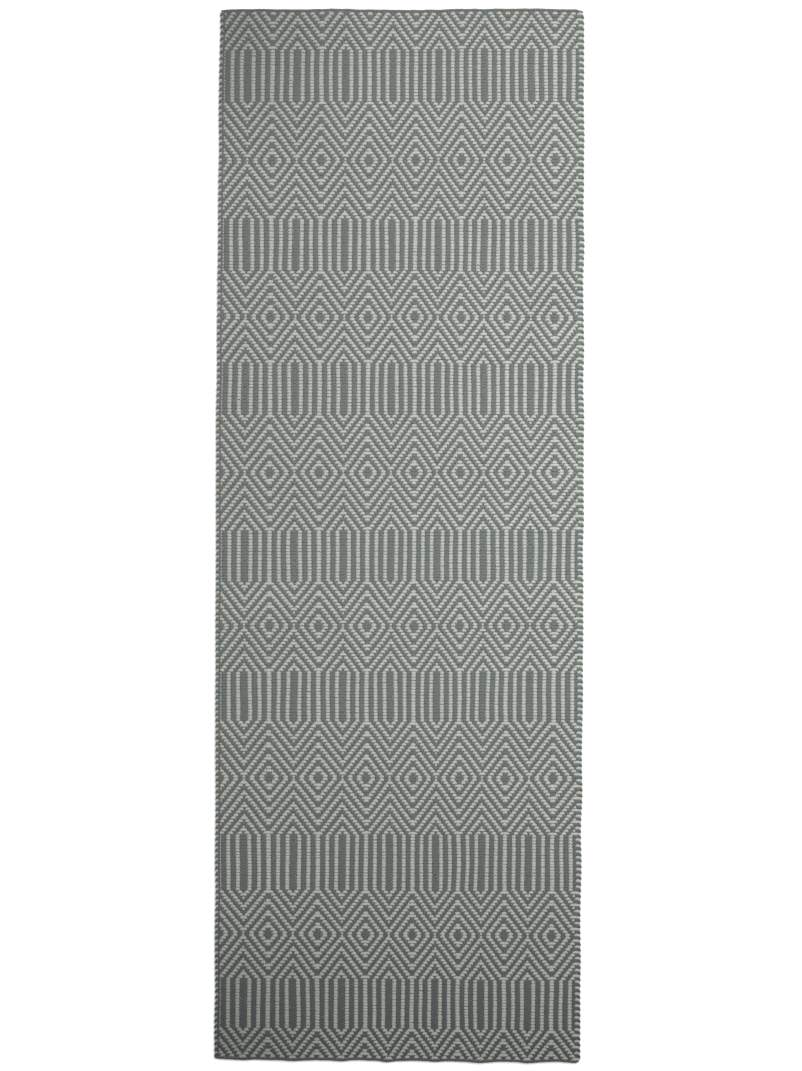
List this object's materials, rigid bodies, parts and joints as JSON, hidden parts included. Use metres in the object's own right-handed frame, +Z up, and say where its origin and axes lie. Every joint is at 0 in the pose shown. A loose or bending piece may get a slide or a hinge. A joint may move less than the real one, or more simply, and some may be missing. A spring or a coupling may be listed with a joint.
{
  "type": "runner rug",
  "caption": "Flatwoven runner rug with a two-colour weft-faced twill of stripes and diamonds, corded selvedges and hemmed ends.",
  "frame": {"origin": "on the floor under the middle of the rug", "axes": "+Y along the rug to its head end, +X across it, +Z up out of its face"},
  "size_m": [0.694, 2, 0.007],
  "materials": {
    "dark_weft_yarn": "matte spun yarn, grey-green",
    "pale_weft_yarn": "matte spun yarn, pale grey-beige",
    "warp_cotton": "undyed plied cotton cord",
    "selvedge_cotton": "undyed thick plied cotton cord",
    "hem_cotton": "plain woven cotton web",
    "hem_thread": "twisted sewing thread, dark grey"
  },
  "bodies": {
    "root": {"dark_weft": "dark_weft_yarn", "pale_weft": "pale_weft_yarn", "warp_ends": "warp_cotton", "left_selvedge_cord": "selvedge_cotton", "right_selvedge_cord": "selvedge_cotton", "head_hem_web": "hem_cotton", "foot_hem_web": "hem_cotton", "head_hem_stitches": "hem_thread", "foot_hem_stitches": "hem_thread"}
  },
  "joints": []
}
